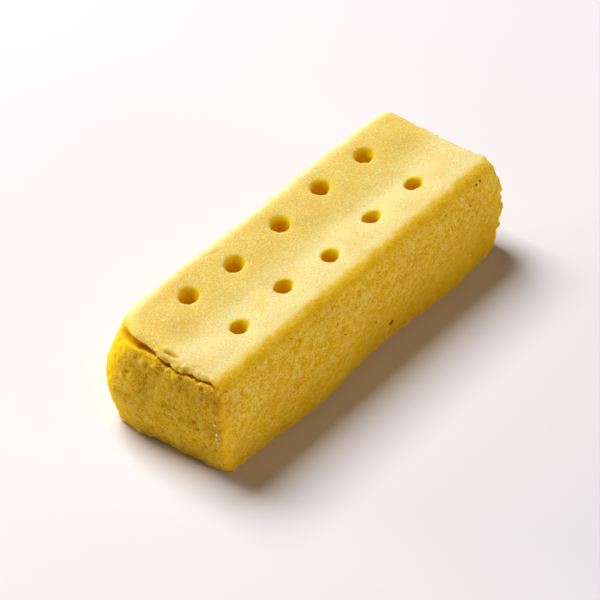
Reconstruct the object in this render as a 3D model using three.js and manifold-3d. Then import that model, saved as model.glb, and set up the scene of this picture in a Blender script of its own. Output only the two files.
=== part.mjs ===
// A baked nutrition biscuit bar: one block of short dough with two rows of docking holes in its
// top and a crack under the top crust at one end. Millimetres, +Z up. The origin is the middle of
// the base. +X runs along the bar, away from the cracked end, and +Y is the bar's left flank.

import * as THREE from "three";
import { ImprovedNoise } from "three/addons/math/ImprovedNoise.js";
import { mergeVertices } from "three/addons/utils/BufferGeometryUtils.js";
import Module from "manifold-3d";

// Driving dimensions of the block
const LENGTH = 72;
const WIDTH = 22.5;
const HEIGHT = 19;
const PLAN_CORNER = 2.4;
const NEAR_LEFT_CORNER = 6;
const TOP_RIM = 2.0;
const BASE_RIM = 1.6;

// The four walls. A wall stands out by `belly` at mid height and leans in by `lean` at its top,
// an end by `leftBelly` and `skew` more where it meets the left flank.
// A lobe stands out by `out` at the place `at` along the bar and fades over `reach`: foot lobes
// fade towards the top, waist lobes both ways and rim lobes towards the base.
const NEAR_END = { belly: 1.6, leftBelly: 1.7, lean: 0.1, skew: 1.4 };
const FAR_END = { belly: 2.4, leftBelly: 0, lean: 1.2, skew: 0.4 };
const RIGHT_FLANK = {
  belly: 1.2,
  lean: 0.3,
  foot: [
    { at: -36, reach: 8, out: 0.5 },
    { at: -14, reach: 13, out: 1.7 },
    { at: 22, reach: 12, out: 1.5 },
  ],
  waist: [],
  rim: [],
};
const LEFT_FLANK = {
  belly: 1.4,
  lean: 0.3,
  foot: [{ at: -36, reach: 8, out: 1.4 }],
  waist: [{ at: -36, reach: 8, out: 2.5 }],
  rim: [
    { at: -37, reach: 7, out: -1 },
    { at: -17, reach: 13, out: 0.7 },
    { at: 16, reach: 13, out: 0.8 },
  ],
};
const BELLY_LEVEL = 0.5;
const BELLY_REACH = 0.44;
const END_SHARE = 12;
const FOOT_FADE = 1.5;

// The top: a raised left rim that falls to a trough between the rows of holes. The trough is deeper
// by `out` around the place `at`, and fades out towards the ends.
const LEFT_RIM_RISE = 0.9;
const TROUGH_DEPTH = 0.8;
const TROUGH_REACH = 4;
const TROUGH_SWELL = { at: 11, reach: 13, out: 0.3 };
const TROUGH_FADE = 7;
const DIMPLE_DEPTH = 0.35;
const DIMPLE_REACH = 3.2;

// Docking holes, in two rows. Each hole has drifted a little from its place in the row.
const HOLE_PITCH = 11.4;
const HOLE_MIDDLE = -0.45;
const HOLE_ROWS = [
  { y: 6, radius: 1.6, drift: [[0.1, 0.1], [-0.7, -0.6], [0.2, -0.1], [0.3, 0.6], [0.1, 0.1]] },
  { y: -4.2, radius: 1.45, drift: [[-0.2, -0.2], [0.5, 0.6], [-0.5, -0.6], [0.2, 0.2], [-0.1, 0]] },
];
const HOLE_DEPTH = 11;
const HOLE_TAPER = 0.25;
const HOLE_MOUTH = 0.3;
const HOLE_STRETCH = 1.1;
const HOLE_SIDES = 14;

// The crack that runs under the top crust at the near end, from left to right: its place on the end
// wall, how wide it gapes there and how deep it is. It is a shallow groove first, then a deep slit
// whose course is jagged. It runs down and in, and the wedge that cuts it starts outside the wall.
const CRACK_COURSE = [
  { y: 12.6, z: 17.5, gape: 1.5, depth: 0.1 },
  { y: 9.5, z: 17.7, gape: 2.0, depth: 0.7 },
  { y: 6.5, z: 18.0, gape: 1.5, depth: 1.1 },
  { y: 4.3, z: 18.2, gape: 0.85, depth: 1.5 },
  { y: 1.2, z: 17.9, gape: 0.45, depth: 1.9 },
  { y: 0.6, z: 17.5, gape: 0.5, depth: 1.9 },
  { y: -1.9, z: 17.5, gape: 0.5, depth: 1.9 },
  { y: -2.7, z: 17.2, gape: 0.6, depth: 1.9 },
  { y: -3.2, z: 17.5, gape: 0.5, depth: 1.9 },
  { y: -5.9, z: 17.9, gape: 0.5, depth: 1.9 },
  { y: -8.9, z: 18.2, gape: 0.5, depth: 1.6 },
  { y: -9.9, z: 17.8, gape: 0.4, depth: 1.2 },
  { y: -11.2, z: 16.8, gape: 0.1, depth: 0.4 },
];
const CRACK_TILT = 0.68;
const CRACK_LEAD = 1.6;
const CRACK_FLARE = 0.25;
const CRACK_TIP = 0.05;
const CRACK_STEPS = 60;
const CRACK_RINGS = 4;

// Crumbs broken out of the crust's lip above the slit, a nick behind it and a flake at the far end
const BITE_STRETCH_OF_CRACK = [1.2, -10.6];
const BITE_COUNT = 9;
const BITE_SIZES = [0.33, 0.6];
const BITE_STRETCH = 1.4;
const BITE_SEED = 7;
const NICK = { x: -35.1, y: -0.9, z: 19, size: [0.3, 1.5, 0.7] };
const FLAKE = { x: 34.6, y: -10.1, z: 18.2, size: [0.5, 0.9, 0.9] };

// Unevenness of the crumb: a swing each way, over a grain, from three places in the noise
const CRUMB_SWING = 0.16;
const CRUMB_GRAIN = 3.1;
const CRUMB_PLACES = new THREE.Vector3(11.3, 37.7, 71.9);

// The mesh: grid cells that crowd towards the rims, the distance at which points are welded, and
// how far from flat a patch may be that is drawn with fewer triangles
const CELL = 1.3;
const CROWDING = 0.4;
const WELD = 1e-4;
const FLATNESS = 0.01;

const { clamp, lerp, seededRandom, smoothstep } = THREE.MathUtils;
const wasm = await Module();
wasm.setup();
const noise = new ImprovedNoise();

const hump = (value, centre, reach) => Math.exp(-(((value - centre) / reach) ** 2));
const lobesAt = (lobes, value) =>
  lobes.reduce((sum, lobe) => sum + lobe.out * hump(value, lobe.at, lobe.reach), 0);

// Share of the way across the bar, from its right flank to its left.
const leftShare = (y) => clamp(0.5 + y / WIDTH, 0, 1);

// Factor that draws the square corner a, b in to a round one.
const roundOff = (a, b) => Math.max(a, b) / Math.hypot(a, b);

// Rounds the four upright corners of the block, then its top and base rims.
function roundedPoint(point) {
  const corner = point.x < 0 && point.y > 0 ? NEAR_LEFT_CORNER : PLAN_CORNER;
  const innerX = LENGTH / 2 - corner;
  const innerY = WIDTH / 2 - corner;
  const overX = Math.abs(point.x) - innerX;
  const overY = Math.abs(point.y) - innerY;
  const outward = new THREE.Vector2();
  let inset;
  if (overX > 0 && overY > 0) {
    const factor = roundOff(overX, overY);
    point.x = Math.sign(point.x) * (innerX + overX * factor);
    point.y = Math.sign(point.y) * (innerY + overY * factor);
    outward.set(Math.sign(point.x) * overX, Math.sign(point.y) * overY).normalize();
    inset = corner - Math.max(overX, overY);
  } else if (overX - overY > 0) {
    outward.set(Math.sign(point.x), 0);
    inset = corner - overX;
  } else {
    outward.set(0, Math.sign(point.y));
    inset = corner - overY;
  }
  for (const [rim, rise, way] of [
    [TOP_RIM, HEIGHT - point.z, 1],
    [BASE_RIM, point.z, -1],
  ]) {
    const across = rim - inset;
    const along = rim - rise;
    if (across > 0 && along > 0) {
      const pull = roundOff(across, along) - 1;
      point.x += outward.x * across * pull;
      point.y += outward.y * across * pull;
      point.z += way * along * pull;
    }
  }
  return point;
}

// Places and radii of the docking holes on the top.
const HOLES = HOLE_ROWS.flatMap(({ y, radius, drift }) =>
  drift.map(([driftX, driftY], column) => ({
    x: HOLE_MIDDLE + HOLE_PITCH * (column - (drift.length - 1) / 2) + driftX,
    y: y + driftY,
    radius,
  })),
);

// Height of the top above its nominal level.
function topRelief(x, y) {
  let height = LEFT_RIM_RISE * leftShare(y) ** 2;
  const trough = TROUGH_DEPTH + lobesAt([TROUGH_SWELL], x);
  height -= trough * smoothstep(LENGTH / 2 - Math.abs(x), 0, TROUGH_FADE) * hump(y, 0, TROUGH_REACH);
  for (const hole of HOLES) {
    height -= DIMPLE_DEPTH * hump(Math.hypot(x - hole.x, y - hole.y), 0, DIMPLE_REACH);
  }
  return height;
}

// Swells the rounded block into the uneven shape that the dough bakes to.
function swollenPoint(point) {
  const { x, y, z } = point;
  const level = z / HEIGHT;
  const belly = hump(level, BELLY_LEVEL, BELLY_REACH);
  const end = x < 0 ? NEAR_END : FAR_END;
  const flank = y < 0 ? RIGHT_FLANK : LEFT_FLANK;
  const endShare = Math.abs((2 * x) / LENGTH) ** END_SHARE;
  const flankShare = Math.abs((2 * y) / WIDTH);
  const left = leftShare(y) ** 2;
  const endOut = belly * (end.belly + end.leftBelly * left) - (end.lean + end.skew * left) * level ** 2;
  const footLobes = lobesAt(flank.foot, x) * (1 - level) ** FOOT_FADE;
  const rimLobes = lobesAt(flank.rim, x) * level;
  const waist = flank.belly + lobesAt(flank.waist, x);
  const flankOut = belly * waist - flank.lean * level ** 2 + footLobes + rimLobes;
  point.x += Math.sign(x) * endShare * endOut;
  point.y += Math.sign(y) * flankShare * flankOut;
  point.z += level ** 2 * topRelief(x, y);
  const swing = CRUMB_SWING * clamp(z / BASE_RIM, 0, 1);
  const grain = (place) => noise.noise(x / CRUMB_GRAIN + place, y / CRUMB_GRAIN, z / CRUMB_GRAIN);
  point.x += swing * grain(CRUMB_PLACES.x);
  point.y += swing * grain(CRUMB_PLACES.y);
  point.z += swing * grain(CRUMB_PLACES.z);
  return point;
}

// Grid lines stand closer together towards the rims, where the block is round.
const crowded = (share) => share + (CROWDING * Math.sin(Math.PI * share)) / Math.PI;

// The block, rounded and swollen, on a grid.
function blockGeometry() {
  const cells = (size) => Math.round(size / CELL);
  const block = new THREE.BoxGeometry(2, 2, 2, cells(LENGTH), cells(WIDTH), cells(HEIGHT));
  const positions = block.getAttribute("position");
  const point = new THREE.Vector3();
  for (let i = 0; i < positions.count; i++) {
    point.fromBufferAttribute(positions, i);
    point.x = (crowded(point.x) * LENGTH) / 2;
    point.y = (crowded(point.y) * WIDTH) / 2;
    point.z = ((crowded(point.z) + 1) * HEIGHT) / 2;
    swollenPoint(roundedPoint(point));
    positions.setXYZ(i, point.x, point.y, point.z);
  }
  return block;
}

// One docking hole: a tapered pin with a round tip and a flared mouth, standing on its own top.
function holeGeometry({ x, y, radius }) {
  const tip = radius - HOLE_TAPER;
  const mouth = radius + HOLE_MOUTH;
  const profile = [
    new THREE.Vector2(0, -HOLE_DEPTH),
    new THREE.Vector2(tip * Math.SQRT1_2, tip * (1 - Math.SQRT1_2) - HOLE_DEPTH),
    new THREE.Vector2(tip, tip - HOLE_DEPTH),
    new THREE.Vector2(radius, -HOLE_MOUTH),
    new THREE.Vector2(mouth, HOLE_MOUTH),
    new THREE.Vector2(mouth, HEIGHT - HOLE_DEPTH),
    new THREE.Vector2(0, HEIGHT - HOLE_DEPTH),
  ];
  const pin = new THREE.LatheGeometry(profile, HOLE_SIDES).rotateX(Math.PI / 2).scale(HOLE_STRETCH, 1, 1);
  return pin.translate(x, y, HEIGHT + topRelief(x, y));
}

// The crack's course at y, in straight stretches between the points that are given.
function crackAt(y) {
  const next = CRACK_COURSE.findIndex((knot, index) => index > 0 && y >= knot.y);
  const to = CRACK_COURSE.at(next);
  const from = CRACK_COURSE.at(next - 1);
  const share = clamp((from.y - y) / (from.y - to.y), 0, 1);
  const between = (key) => lerp(from[key], to[key], share);
  return { z: between("z"), gape: between("gape"), depth: between("depth") };
}

// How far along the bar the near end's wall stands at a place on it.
function nearWall(y, z) {
  const corner = new THREE.Vector3(-LENGTH / 2, clamp(y, -WIDTH / 2, WIDTH / 2), z);
  return swollenPoint(roundedPoint(corner)).x;
}

// The crack as a solid: a wedge that follows the wall and is driven in under the top rim.
function crackGeometry() {
  const first = CRACK_COURSE.at(0);
  const last = CRACK_COURSE.at(-1);
  const wedge = new THREE.BoxGeometry(1, 1, 1, CRACK_RINGS, CRACK_STEPS, 1);
  const positions = wedge.getAttribute("position");
  for (let i = 0; i < positions.count; i++) {
    const y = lerp(first.y, last.y, clamp(0.5 - positions.getY(i), 0, 1));
    const { z, gape, depth } = crackAt(y);
    const inward = lerp(-CRACK_LEAD, depth, positions.getX(i) + 0.5);
    const opening = inward > 0 ? Math.sqrt(Math.max(0, 1 - inward / depth)) : 1 - CRACK_FLARE * inward;
    const across = positions.getZ(i) * (gape * opening + CRACK_TIP);
    const alongX = inward * Math.cos(CRACK_TILT) + across * Math.sin(CRACK_TILT);
    const alongZ = across * Math.cos(CRACK_TILT) - inward * Math.sin(CRACK_TILT);
    positions.setXYZ(i, nearWall(y, z) + alongX, y, z + alongZ);
  }
  return wedge;
}

// A lump with flat facets, such as a crumb, at a place and with a size each way.
const lumpGeometry = ({ x, y, z, size }) =>
  new THREE.IcosahedronGeometry(1, 1).scale(...size).translate(x, y, z);

// Crumbs out of the lip, drawn along the slit.
function biteGeometries() {
  seededRandom(BITE_SEED);
  return Array.from({ length: BITE_COUNT }, (_, bite) => {
    const y = lerp(...BITE_STRETCH_OF_CRACK, (bite + seededRandom()) / BITE_COUNT);
    const radius = lerp(...BITE_SIZES, seededRandom());
    const knot = crackAt(y);
    const z = knot.z + knot.gape * seededRandom();
    return lumpGeometry({ x: nearWall(y, z), y, z, size: [radius, BITE_STRETCH * radius, radius] });
  });
}

// A closed geometry as a solid for joining and cutting.
function solidOf(geometry) {
  const bare = geometry.clone();
  bare.deleteAttribute("normal");
  bare.deleteAttribute("uv");
  const merged = mergeVertices(bare, WELD);
  return new wasm.Manifold(
    new wasm.Mesh({
      numProp: 3,
      vertProperties: new Float32Array(merged.getAttribute("position").array),
      triVerts: new Uint32Array(merged.index.array),
    }),
  );
}

// A finished solid as a geometry.
function geometryOf(solid) {
  const mesh = solid.getMesh();
  const geometry = new THREE.BufferGeometry();
  geometry.setAttribute("position", new THREE.BufferAttribute(mesh.vertProperties, 3));
  geometry.setIndex(new THREE.BufferAttribute(mesh.triVerts, 1));
  geometry.computeVertexNormals();
  return geometry;
}

const cutters = [
  ...HOLES.map(holeGeometry),
  crackGeometry(),
  ...biteGeometries(),
  lumpGeometry(NICK),
].map(solidOf);
const block = solidOf(blockGeometry()).add(solidOf(lumpGeometry(FLAKE)));
const solid = cutters.reduce((rest, cutter) => rest.subtract(cutter), block).simplify(FLATNESS);

const biscuitMaterial = new THREE.MeshStandardMaterial({
  color: 0xe6b84a,
  roughness: 0.85,
  metalness: 0,
});
const biscuit = new THREE.Mesh(geometryOf(solid), biscuitMaterial);
biscuit.name = "biscuit";

// The walls swell unequally, so the finished bar is moved to stand with its base centred.
const box = new THREE.Box3().setFromObject(biscuit);
const centre = box.getCenter(new THREE.Vector3());
biscuit.geometry.translate(-centre.x, -centre.y, -box.min.z);

const bar = new THREE.Group();
bar.add(biscuit);

export default bar;
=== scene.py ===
"""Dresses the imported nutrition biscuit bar: its baked crumb, its crust, its crack and its crumbs.

The bar is one piece of short dough. The form is built here in millimetres by the same rules as the
solid, cut with its docking holes and its crack, joined with torn crumbs in one even mesh, and then
roughened to the sandy crumb that the solid is too coarse to hold. The sugar and the bran that cling
to it follow. Each shape is scaled to metres at the very end.
"""

from __future__ import annotations

import logging
import math
import random
from dataclasses import dataclass
from enum import Enum
from functools import cached_property, partial
from typing import Any, Callable, Iterator, Sequence

import bmesh
import bpy
from mathutils import Matrix, Vector, noise
from mathutils.bvhtree import BVHTree


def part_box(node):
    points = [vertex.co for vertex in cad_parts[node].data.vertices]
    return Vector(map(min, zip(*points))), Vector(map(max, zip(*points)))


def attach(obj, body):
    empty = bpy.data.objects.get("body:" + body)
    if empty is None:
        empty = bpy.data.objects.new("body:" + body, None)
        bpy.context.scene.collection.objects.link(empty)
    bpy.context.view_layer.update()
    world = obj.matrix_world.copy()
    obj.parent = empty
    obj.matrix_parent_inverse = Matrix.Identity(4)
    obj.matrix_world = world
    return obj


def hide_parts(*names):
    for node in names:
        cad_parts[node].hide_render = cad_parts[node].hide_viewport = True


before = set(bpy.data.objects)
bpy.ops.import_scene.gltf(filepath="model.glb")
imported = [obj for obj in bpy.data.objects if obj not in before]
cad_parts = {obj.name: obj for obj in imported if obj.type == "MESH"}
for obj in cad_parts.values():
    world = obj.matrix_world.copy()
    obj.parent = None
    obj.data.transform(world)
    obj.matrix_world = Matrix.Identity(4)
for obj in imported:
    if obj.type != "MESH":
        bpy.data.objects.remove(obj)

LOG = logging.getLogger("biscuit_bar")
MM = 0.001
NODE = "biscuit"
BODY = "root"
UP = Vector((0.0, 0.0, 1.0))


class Axis(Enum):
    """The bar's own directions."""

    LENGTH = 0
    WIDTH = 1
    HEIGHT = 2


class Zone(Enum):
    """What the dough is like at a point, or the light and shade painted on it there, kept as an attribute
    of its mesh from 0 to 1.
    """

    CRUST = "crust"
    # Painted highlight: the crust lighter on its right strip and along its left rim, where the key light
    # falls and glints.
    PALE = "pale_crust"
    # Deeper, brighter yellow on the rounded edges: partly their own colour, partly painted glow of light
    # through them.
    EDGE = "edge"
    # Painted shade: the walls darker towards the table, and higher up towards the far end.
    FOOT = "foot"
    COARSE = "coarse"
    # Painted contact shadow along the foot of the walls.
    BASE = "base_edge"
    HOLLOW = "hollow"
    # Painted shade deep in the holes and the crack.
    DEEP = "deep_hollow"
    # Painted shade inside the crack and the nicks.
    CREVICE = "crevice"


class Grain(Enum):
    """What the dough's finish reads besides its zones: its sand, its blotches and its pores."""

    SAND = "sand"
    CRUST_SAND = "crust_sand"
    BLOTCH = "blotch"
    PORE_AWAY = "pore_away"
    PORE_CHOICE = "pore_choice"


class Pattern(Enum):
    """Unrelated patterns of the noise that shapes the dough, each by its shift."""

    SAND = 0.0
    FINE_SAND = 2.0
    HOLE = 3.0
    NICK = 4.0
    SWELL = 5.0
    LIP = 7.0
    CRUST_EDGE = 8.0
    CRACK = 9.0


def clamp(value: float, low: float = 0.0, high: float = 1.0) -> float:
    """Return ``value`` held between ``low`` and ``high``."""
    return min(high, max(low, value))


def lerp(start: float, end: float, share: float) -> float:
    """Return the point a ``share`` of the way from ``start`` to ``end``."""
    return start + (end - start) * share


def smooth_step(low: float, high: float, value: float) -> float:
    """Return a soft step that is 0 at ``low`` and 1 at ``high``."""
    share = clamp((value - low) / (high - low))
    return share * share * (3.0 - 2.0 * share)


def hump(value: float, centre: float, reach: float) -> float:
    """Return a smooth bump of height 1 at ``centre`` that fades over ``reach``."""
    return math.exp(-(((value - centre) / reach) ** 2))


def round_off(across: float, along: float) -> float:
    """Return the factor that draws a square corner in to a round one."""
    return max(across, along) / math.hypot(across, along)


def grain_at(point: Vector, size: float, place: float) -> float:
    """Return noise of about -1 to 1 whose lumps are ``size`` apart.

    Args:
        point: Where the noise is read, in millimetres.
        size: Spacing of the lumps, in millimetres.
        place: A shift that gives an unrelated pattern.

    Returns:
        The noise there.
    """
    return noise.noise(point / size + Vector((place, -place, 0.5 * place)))


def mostly_small(draw: random.Random, sizes: tuple[float, float]) -> float:
    """Return a size drawn between two limits, more often near the lower one."""
    return lerp(*sizes, draw.random() ** 2)


def cut_along(shape: bmesh.types.BMesh, axis: Axis, cuts: int) -> None:
    """Cut each edge of a box that runs along an axis into equal parts.

    Args:
        shape: Mesh of the box, square to the axes.
        axis: The direction of the edges that are cut.
        cuts: Number of cuts in each.
    """
    along = [
        edge
        for edge in shape.edges
        if abs(edge.verts[0].co[axis.value] - edge.verts[1].co[axis.value]) > edge.calc_length() / 2
    ]
    bmesh.ops.subdivide_edges(shape, edges=along, cuts=cuts, use_grid_fill=True)


def seated(place: Vector, normal: Vector, size: Sequence[float], sink: float, spin: float) -> Matrix:
    """Return the matrix that sets a bit of radius 1 on the dough.

    Args:
        place: Where it sits.
        normal: Which way the dough faces there.
        size: Its half sizes along, across and out.
        sink: How far it is set in, as a share of its half size out.
        spin: Its turn about the normal.

    Returns:
        The matrix.
    """
    seat = Matrix.Translation(place - normal * sink * size[2])
    turn = normal.to_track_quat("Z", "Y").to_matrix().to_4x4()
    return seat @ turn @ Matrix.Rotation(spin, 4, "Z") @ Matrix.Diagonal((*size, 1.0))


@dataclass(frozen=True)
class Lobe:
    """A swelling that stands out by ``out`` at ``at`` along the bar and fades over ``reach``."""

    at: float
    reach: float
    out: float

    def rise(self, x: float) -> float:
        """Return how far the swelling stands out at ``x``."""
        return self.out * hump(x, self.at, self.reach)


@dataclass(frozen=True)
class EndWall:
    """An end of the bar: its belly, its lean at the top, and more of each towards the left flank.

    Its foot is drawn in by ``tuck`` where it meets the right flank.
    """

    belly: float
    lean: float
    skew: float
    left_belly: float = 0.0
    tuck: float = 0.0


@dataclass(frozen=True)
class Flank:
    """A long side: its belly, its lean, and lobes at its foot, at its waist and along its top rim."""

    belly: float
    lean: float
    foot: tuple[Lobe, ...] = ()
    waist: tuple[Lobe, ...] = ()
    rim: tuple[Lobe, ...] = ()


@dataclass(frozen=True)
class HoleRow:
    """A row of docking holes: its place, its radius, and how far each hole has drifted."""

    y: float
    radius: float
    drift: tuple[tuple[float, float], ...]


@dataclass(frozen=True)
class Hole:
    """One docking hole on the top."""

    x: float
    y: float
    radius: float


@dataclass(frozen=True)
class DockingHoles:
    """The two rows of holes that a docker pressed into the dough. Sizes in millimetres.

    Its pins leaned as they came out, so each mouth is sharp on the near side and drawn out on the
    far one.
    """

    pitch: float = 11.4
    middle: float = -0.45
    rows: tuple[HoleRow, ...] = (
        HoleRow(6.0, 1.5, ((0.1, 0.1), (-0.7, -0.6), (0.2, -0.1), (0.3, 0.6), (0.1, 0.1))),
        HoleRow(-4.2, 1.4, ((-0.2, -0.2), (0.5, 0.6), (-0.5, -0.6), (0.2, 0.2), (-0.1, 0.0))),
    )
    depth: float = 11.0
    taper: float = 0.25
    mouth: float = 0.3
    stretch: float = 1.1
    lean: tuple[float, float] = (0.1, 0.06)
    lean_depth: float = 1.5
    soft_lip: float = 0.42
    # How quickly the hollow colour, with its painted glow, fades past the near and far lips.
    sharp_edge: float = 0.1
    soft_edge: float = 0.5
    sides: int = 28
    rings: int = 14
    ragged: float = 0.2
    ragged_size: float = 0.75
    quarter_steps: int = 4
    weld: float = 1e-4
    radii_round: float = 2.0

    @cached_property
    def every(self) -> tuple[Hole, ...]:
        """Every hole of each row."""
        half = (len(self.rows[0].drift) - 1) / 2
        return tuple(
            Hole(self.middle + self.pitch * (column - half) + x, row.y + y, row.radius)
            for row in self.rows
            for column, (x, y) in enumerate(row.drift)
        )

    def near(self, point: Vector) -> Hole | None:
        """Return the hole that a point is inside of or close to, if there is one."""
        for hole in self.every:
            if math.hypot(point.x - hole.x, point.y - hole.y) < self.radii_round * hole.radius:
                return hole
        return None

    def mouth_share(self, point: Vector, hole: Hole) -> float:
        """Return how far a point is in a hole's mouth, in plan.

        Args:
            point: A point of the dough.
            hole: The hole that it is close to.

        Returns:
            1 inside, fading quickly past the near lip and slowly past the far one.
        """
        lean = Vector(self.lean)
        away = Vector(((point.x - hole.x) / self.stretch, point.y - hole.y)) - lean
        far_side = clamp(away.normalized().dot(lean.normalized()))
        edge = lerp(self.sharp_edge, self.soft_edge, far_side)
        return smooth_step(edge, 0.0, away.length - hole.radius - self.soft_lip * far_side)

    def profile(self, radius: float) -> list[tuple[float, float]]:
        """Return half the section of a pin, from its round tip up to above its mouth.

        Args:
            radius: Radius of the pin at the dough's surface.

        Returns:
            Points as (radius, level), with the surface at level 0.
        """
        tip = radius - self.taper
        points = [(0.0, -self.depth)]
        for step in range(1, self.quarter_steps + 1):
            turn = math.pi / 2 * step / self.quarter_steps
            points.append((tip * math.sin(turn), tip * (1 - math.cos(turn)) - self.depth))
        for ring in range(1, self.rings + 1):
            share = ring / self.rings
            points.append((lerp(tip, radius, share), lerp(tip - self.depth, -self.mouth, share)))
        flare = radius + self.mouth
        above = self.depth / 4
        return points + [(flare, self.mouth), (flare, above), (0.0, above)]

    def cutter(self, shape: bmesh.types.BMesh, hole: Hole, top: float) -> None:
        """Add one ragged pin to ``shape``, to be cut from the dough.

        Args:
            shape: Mesh that takes the pin.
            hole: Place and radius.
            top: Height of the dough's surface there.
        """
        known = set(shape.verts)
        start = [shape.verts.new((radius, 0.0, level)) for radius, level in self.profile(hole.radius)]
        edges = [shape.edges.new(pair) for pair in zip(start, start[1:])]
        bmesh.ops.spin(
            shape, geom=start + edges, cent=(0, 0, 0), axis=UP, angle=math.tau,
            steps=self.sides, use_merge=True,
        )
        pin = [vert for vert in shape.verts if vert not in known]
        bmesh.ops.remove_doubles(shape, verts=pin, dist=self.weld)
        centre = Vector((hole.x, hole.y, top))
        lean = Vector((*self.lean, 0.0))
        for vert in (vert for vert in shape.verts if vert not in known):
            outward = Vector((vert.co.x, vert.co.y, 0.0)).normalized()
            leaned = smooth_step(-self.lean_depth, self.mouth, vert.co.z)
            wider = self.ragged * grain_at(vert.co + centre, self.ragged_size, Pattern.HOLE.value)
            wider += self.soft_lip * leaned * max(0.0, outward.dot(lean.normalized()))
            vert.co += outward * wider
            vert.co.x *= self.stretch
            vert.co += centre + lean * leaned


@dataclass(frozen=True)
class DoughBlock:
    """The block of dough before anything is cut from it. Sizes in millimetres."""

    length: float = 72.0
    width: float = 22.5
    height: float = 19.0
    plan_corner: float = 2.4
    near_left_corner: float = 6.0
    near_right_corner: float = 1.4
    top_rim: float = 2.0
    base_rim: float = 1.2
    cell: float = 0.6
    near_end: EndWall = EndWall(belly=1.6, lean=0.1, skew=1.4, left_belly=1.7, tuck=0.8)
    far_end: EndWall = EndWall(belly=2.4, lean=1.2, skew=0.4)
    tuck_fade: tuple[float, float] = (4.0, 2.0)
    right_flank: Flank = Flank(
        belly=1.2, lean=0.3, foot=(Lobe(-36, 8, 0.5), Lobe(-14, 13, 1.7), Lobe(22, 12, 1.5))
    )
    left_flank: Flank = Flank(
        belly=1.4,
        lean=0.3,
        foot=(Lobe(-36, 8, 1.4),),
        waist=(Lobe(-36, 8, 2.5),),
        rim=(Lobe(-37, 7, -1.0), Lobe(-17, 13, 0.7), Lobe(16, 13, 0.8)),
    )
    belly_level: float = 0.5
    belly_reach: float = 0.44
    end_share: float = 12.0
    foot_fade: float = 1.5
    left_rim_rise: float = 0.9
    trough_depth: float = 0.8
    trough_reach: float = 4.0
    trough_swell: Lobe = Lobe(11, 13, 0.3)
    trough_fade: float = 7.0
    dimple_depth: float = 0.35
    dimple_reach: float = 3.2
    holes: DockingHoles = DockingHoles()

    def left_share(self, y: float) -> float:
        """Return the share of the way across the bar, from its right flank to its left."""
        return clamp(0.5 + y / self.width)

    def top_relief(self, x: float, y: float) -> float:
        """Return the height of the top above its nominal level."""
        height = self.left_rim_rise * self.left_share(y) ** 2
        trough = self.trough_depth + self.trough_swell.rise(x)
        trough *= smooth_step(0.0, self.trough_fade, self.length / 2 - abs(x))
        height -= trough * hump(y, 0.0, self.trough_reach)
        for hole in self.holes.every:
            away = math.hypot(x - hole.x, y - hole.y)
            height -= self.dimple_depth * hump(away, 0.0, self.dimple_reach)
        return height

    def top_at(self, x: float, y: float) -> float:
        """Return the height of the top surface."""
        return self.height + self.top_relief(x, y)

    def corner_at(self, point: Vector) -> float:
        """Return the plan radius of the corner that a point is nearest to."""
        if point.x >= 0:
            return self.plan_corner
        return self.near_left_corner if point.y > 0 else self.near_right_corner

    def rounded(self, point: Vector) -> Vector:
        """Return a point of the square block with its corners and rims rounded.

        Args:
            point: A point on the square block.

        Returns:
            The same point on the rounded block.
        """
        corner = self.corner_at(point)
        inner = Vector((self.length / 2 - corner, self.width / 2 - corner))
        side = Vector((math.copysign(1, point.x), math.copysign(1, point.y)))
        over = Vector((abs(point.x), abs(point.y))) - inner
        moved = point.copy()
        if over.x > 0 and over.y > 0:
            drawn = over * round_off(over.x, over.y)
            moved.x = side.x * (inner.x + drawn.x)
            moved.y = side.y * (inner.y + drawn.y)
            outward = Vector((side.x * over.x, side.y * over.y)).normalized()
            inset = corner - max(over.x, over.y)
        elif over.x > over.y:
            outward = Vector((side.x, 0.0))
            inset = corner - over.x
        else:
            outward = Vector((0.0, side.y))
            inset = corner - over.y
        for rim, depth, way in ((self.top_rim, self.height - point.z, 1), (self.base_rim, point.z, -1)):
            across = rim - inset
            along = rim - depth
            if across > 0 and along > 0:
                pull = round_off(across, along) - 1
                moved.x += outward.x * across * pull
                moved.y += outward.y * across * pull
                moved.z += way * along * pull
        return moved

    def swollen(self, point: Vector) -> Vector:
        """Return a point of the rounded block as the dough bakes to its uneven shape.

        Args:
            point: A point on the rounded block.

        Returns:
            The same point on the baked block.
        """
        level = point.z / self.height
        end = self.near_end if point.x < 0 else self.far_end
        flank = self.right_flank if point.y < 0 else self.left_flank
        belly = hump(level, self.belly_level, self.belly_reach)
        left = self.left_share(point.y) ** 2
        end_out = belly * (end.belly + end.left_belly * left) - (end.lean + end.skew * left) * level**2
        across_fade, up_fade = self.tuck_fade
        end_out -= end.tuck * (1 - left) ** across_fade * (1 - level) ** up_fade
        waist = flank.belly + sum(lobe.rise(point.x) for lobe in flank.waist)
        flank_out = belly * waist - flank.lean * level**2
        flank_out += sum(lobe.rise(point.x) for lobe in flank.foot) * (1 - level) ** self.foot_fade
        flank_out += sum(lobe.rise(point.x) for lobe in flank.rim) * level
        end_share = abs(2 * point.x / self.length) ** self.end_share
        flank_share = abs(2 * point.y / self.width)
        return point + Vector(
            (
                math.copysign(1, point.x) * end_share * end_out,
                math.copysign(1, point.y) * flank_share * flank_out,
                level**2 * self.top_relief(point.x, point.y),
            )
        )

    def near_wall(self, y: float, z: float) -> float:
        """Return how far along the bar the near end's wall stands at a place on it."""
        half = self.width / 2
        return self.swollen(self.rounded(Vector((-self.length / 2, clamp(y, -half, half), z)))).x

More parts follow.
